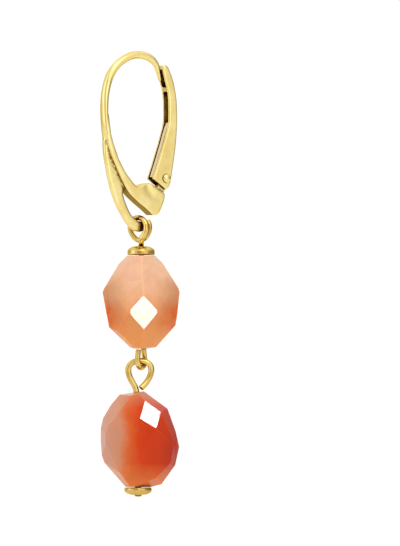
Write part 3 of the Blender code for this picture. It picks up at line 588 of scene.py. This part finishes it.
upper_stone = worn_stone("peach_bead", "upper_bead", peach_stone, UPPER_ROUNDING, KITE_CORNERS)
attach(upper_stone, "upper_drop")
lower_stone = worn_stone("orange_bead", "lower_bead", orange_stone, LOWER_ROUNDING)
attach(lower_stone, "lower_drop")

# %% [markdown]
# The metal pieces are a casting, bent wire and pressed caps, and none of them has a truly sharp
# edge: polishing rounds them all, and runs one surface into the next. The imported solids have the
# shapes, with flat facets and hard corners. A bevel would leave the facets of the round parts, so
# these pieces get a fine voxel remesh and then some passes of smoothing, most on the hook, whose
# surfaces run into one another. The grid is a twentieth of a millimetre.

# %% Polish the metal
GRID_MM = 0.05
PASS_STRENGTH = 0.5


def polished(name, node, finish, body, passes):
    """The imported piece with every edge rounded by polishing, standing for it."""
    made = bpy.data.objects.new(name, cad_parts[node].data.copy())
    bpy.context.scene.collection.objects.link(made)
    made.data.materials.clear()
    made.data.materials.append(finish)
    grid = made.modifiers.new("even grid", "REMESH")
    grid.mode = "VOXEL"
    grid.voxel_size = GRID_MM * MM
    grid.use_smooth_shade = True
    wheel = made.modifiers.new("polishing", "SMOOTH")
    wheel.factor = PASS_STRENGTH
    wheel.iterations = passes
    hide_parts(node)
    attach(made, body)
    print(name, "has", finish.name)
    return made


hook = polished("cast_hook", "ear_hook", cast_gold, "hook", passes=14)
polished("domed_rivet", "hinge_rivet", cast_gold, "hook", passes=4)
polished("cast_lever", "lever", cast_gold, "lever", passes=8)
polished("upper_wire", "upper_pin", wire_gold, "upper_drop", passes=8)
polished("upper_dome", "upper_cap", wire_gold, "upper_drop", passes=4)
polished("lower_wire", "lower_pin", wire_gold, "lower_drop", passes=8)
polished("lower_dome", "lower_cap", wire_gold, "lower_drop", passes=4)

# %% [markdown]
# On the hook's body a soft hollow curves round the hinge, cast with it and half polished away. It is
# a shape and not a line of colour, so a bump alone wouldn't do: the polished mesh is made real, and
# the points on the body's two broad sides move in by a few hundredths of a millimetre, most in the
# middle of the hollow.

# %% Hollow round the hinge
HOLLOW_MIDDLE = Vector((2.2 * MM, 0, -13.0 * MM))
HOLLOW_RADIUS, HOLLOW_WIDTH, HOLLOW_DEPTH = 1.5 * MM, 0.42 * MM, 0.045 * MM
HOLLOW_TOP = 0.4 * MM
BROAD_SIDE = 0.8

settled = hook.evaluated_get(bpy.context.evaluated_depsgraph_get())
body_mesh = bpy.data.meshes.new_from_object(settled)
facing_out = [point.normal.y for point in body_mesh.vertices]
for point, out in zip(body_mesh.vertices, facing_out):
    away = Vector((point.co.x, 0, point.co.z)) - HOLLOW_MIDDLE
    if abs(out) > BROAD_SIDE and away.length < 2 * HOLLOW_RADIUS and away.z < HOLLOW_TOP:
        off = (away.length - HOLLOW_RADIUS) / HOLLOW_WIDTH
        point.co.y -= math.copysign(HOLLOW_DEPTH * math.exp(-off * off), out)
hook.modifiers.clear()
hook.data = body_mesh
print("hollow", round(HOLLOW_DEPTH / MM, 3), "mm deep, mesh of", len(body_mesh.vertices), "points")

# %% [markdown]
# The spring strip is rolled flat with square edges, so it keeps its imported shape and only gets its
# finish.

# %% Finish the spring
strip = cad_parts["spring_leaf"]
strip.data.materials.clear()
strip.data.materials.append(spring_gold)
print("spring_leaf has", spring_gold.name)

# %% [markdown]
# The earring hangs free, so the pale floor of matt paper lies well below it. A disc with enough
# sides is all that it needs.

# %% Floor
FLOOR_RADIUS = 1.2
FLOOR_LEVEL = -0.16

floor_mesh = bpy.data.meshes.new("studio_floor")
floor_shape = bmesh.new()
bmesh.ops.create_circle(floor_shape, cap_ends=True, segments=96, radius=FLOOR_RADIUS)
bmesh.ops.translate(floor_shape, verts=floor_shape.verts, vec=(0, 0, FLOOR_LEVEL))
floor_shape.to_mesh(floor_mesh)
floor_shape.free()
floor = bpy.data.objects.new("studio_floor", floor_mesh)
bpy.context.scene.collection.objects.link(floor)
paper, _, shader, _ = new_finish("matt white paper")
shader.inputs["Base Color"].default_value = linear("f4f2ef")
shader.inputs["Roughness"].default_value = 0.9
floor_mesh.materials.append(paper)
print("floor", FLOOR_LEVEL, "m down, in", paper.name)

# %% [markdown]
# Polished metal shows what stands round it, so the sky is a small studio. It could be built from
# walls and screens, but as a ramp of greys round the earring it casts no shadow and is quick to
# change. From behind the earring and round by the left, it has a pale wall, a grey gap, a white
# screen, grey about the camera, a white screen to the right of the camera, and darker walls from
# there to the pale one again. Overhead and below it is pale grey. Where a light zone meets a darker
# one, the gold shows a bright band beside a dark one.

# %% Sky
WALL_TOP, ALL_OVERHEAD = 0.25, 0.75
SKY_STRENGTH = 1.5

world = bpy.data.worlds.new("studio")
bpy.context.scene.world = world
world.use_nodes = True
tree = world.node_tree
sky = tree.nodes["Background"]
around = add(tree, "ShaderNodeTexCoord")
aside = add(
    tree, "ShaderNodeVectorMath", {"operation": "DOT_PRODUCT", 1: right}, i0=around.outputs["Generated"]
)
ahead = add(
    tree, "ShaderNodeVectorMath", {"operation": "DOT_PRODUCT", 1: towards}, i0=around.outputs["Generated"]
)
turn = add(
    tree, "ShaderNodeMath", {"operation": "ARCTAN2"}, i0=aside.outputs["Value"], i1=ahead.outputs["Value"]
)
circle = add(
    tree, "ShaderNodeMath", {"operation": "MULTIPLY_ADD", 1: 0.5 / math.pi, 2: 0.5}, i0=turn.outputs[0]
)
walls = add(
    tree, "ShaderNodeValToRGB",
    {
        "stops": [
            (0.08, "dadada"), (0.15, "a8a6a4"), (0.21, "b8b6b4"), (0.28, "ffffff"), (0.34, "ffffff"),
            (0.40, "a8a6a4"), (0.49, "b0aeac"), (0.55, "f4f2f0"), (0.62, "ffffff"), (0.66, "d8d6d4"),
            (0.72, "989694"), (0.80, "8e8c8a"), (0.92, "949290"), (0.965, "dadada"),
        ],
    },
    Fac=circle.outputs[0],
)
aim = add(tree, "ShaderNodeSeparateXYZ", None, Vector=around.outputs["Generated"])
steep = add(tree, "ShaderNodeMath", {"operation": "ABSOLUTE"}, i0=aim.outputs["Z"])
over = add(
    tree, "ShaderNodeMapRange", {"From Min": WALL_TOP, "From Max": ALL_OVERHEAD}, Value=steep.outputs[0]
)
dome = add(
    tree, "ShaderNodeMix", {"data_type": "RGBA", 7: linear("e0dfde")},
    i0=over.outputs["Result"], i6=walls.outputs["Color"],
)
tree.links.new(dome.outputs[2], sky.inputs["Color"])
sky.inputs["Strength"].default_value = SKY_STRENGTH
print("studio walls of", len(walls.color_ramp.elements), "greys")

# %% [markdown]
# The camera looks along the photograph's view, from far off and with a long lens, so that nothing
# looks foreshortened. An orthographic camera would do the same, but a lens keeps a trace of depth. It
# is worked out from the size of a pixel, so that the model lands where the photograph shows it.

# %% Camera
WIDE, HIGH = 400, 546
DISTANCE = 1.0
SENSOR_MM = 24
NEAREST = 0.01

camera_data = bpy.data.cameras.new("camera")
camera_data.sensor_fit = "VERTICAL"
camera_data.sensor_height = SENSOR_MM
camera_data.lens = SENSOR_MM * DISTANCE / (HIGH * PIXEL)
camera_data.clip_start = NEAREST
camera = bpy.data.objects.new("camera", camera_data)
camera.location = photo_place(WIDE / 2, HIGH / 2, DISTANCE)
camera.rotation_euler = (math.pi / 2, 0, VIEW)
bpy.context.scene.collection.objects.link(camera)
bpy.context.scene.camera = camera
bpy.context.scene.view_settings.view_transform = "Standard"
print("lens", round(camera_data.lens, 1), "mm")

# %% [markdown]
# One facet of each stone is white in the photograph, because it mirrors a lamp to the camera, and
# its neighbours aren't, because they lean another way. A small bright box can be tried here and
# there until that happens, but a mirror's law gives its place: a ray from the camera is cast on the
# facet, and the box stands where that ray would bounce to. These boxes light the stones alone, since
# on the polished metal they would show as hard dots, and they add nothing to the soft light.

# %% Softboxes
BOX_AWAY = 0.16
RAY_FROM = 0.1
stones_only = bpy.data.collections.new("stones only")
stones_only.objects.link(upper_stone)
stones_only.objects.link(lower_stone)


def softbox(name, place, aim_at, size, radiance):
    """A square light at a place, facing another, as bright as its radiance says."""
    lamp = bpy.data.lights.new(name, "AREA")
    lamp.size = size
    lamp.energy = radiance * math.pi * size * size
    made = bpy.data.objects.new(name, lamp)
    made.location = place
    made.rotation_euler = (Vector(aim_at) - Vector(place)).to_track_quat("-Z", "Y").to_euler()
    bpy.context.scene.collection.objects.link(made)
    made.visible_camera = False
    print(name, "at", [round(v, 3) for v in place])
    return made


def facet_box(name, stone, seen_at, size, radiance):
    """A small box that the facet seen at a pixel mirrors to the camera."""
    shape = bmesh.new()
    shape.from_mesh(stone.data)
    start = photo_place(*seen_at, RAY_FROM)
    hit, normal, _, _ = BVHTree.FromBMesh(shape).ray_cast(start, -towards)
    shape.free()
    mirrored = -towards + normal * (2 * towards.dot(normal))
    made = softbox(name, hit + mirrored * BOX_AWAY, hit, size, radiance)
    made.visible_diffuse = False
    made.light_linking.receiver_collection = stones_only
    return made


# %% [markdown]
# One large softbox stands high in front, for soft modelling on the metal and the stones. The two
# facet boxes are small and bright, aimed at the kite of the upper stone and the diamond of the lower.

# %% Place the lights
EARRING_MIDDLE_AT = (140, 270)
HIGH_BOX_RIGHT, HIGH_BOX_OUT, HIGH_BOX_UP = 0.06, 0.3, 0.35
HIGH_BOX_SIZE, HIGH_BOX_RADIANCE = 0.3, 1.5
FACET_BOX_SIZE = 0.012
KITE_AT, KITE_RADIANCE = (143.6, 311.5), 122
DIAMOND_AT, DIAMOND_RADIANCE = (150, 415), 190

middle = photo_place(*EARRING_MIDDLE_AT)
high_place = middle + right * HIGH_BOX_RIGHT + towards * HIGH_BOX_OUT + up * HIGH_BOX_UP
softbox("high softbox", high_place, middle, HIGH_BOX_SIZE, HIGH_BOX_RADIANCE)
facet_box("upper facet box", upper_stone, KITE_AT, FACET_BOX_SIZE, KITE_RADIANCE)
facet_box("lower facet box", lower_stone, DIAMOND_AT, FACET_BOX_SIZE, DIAMOND_RADIANCE)
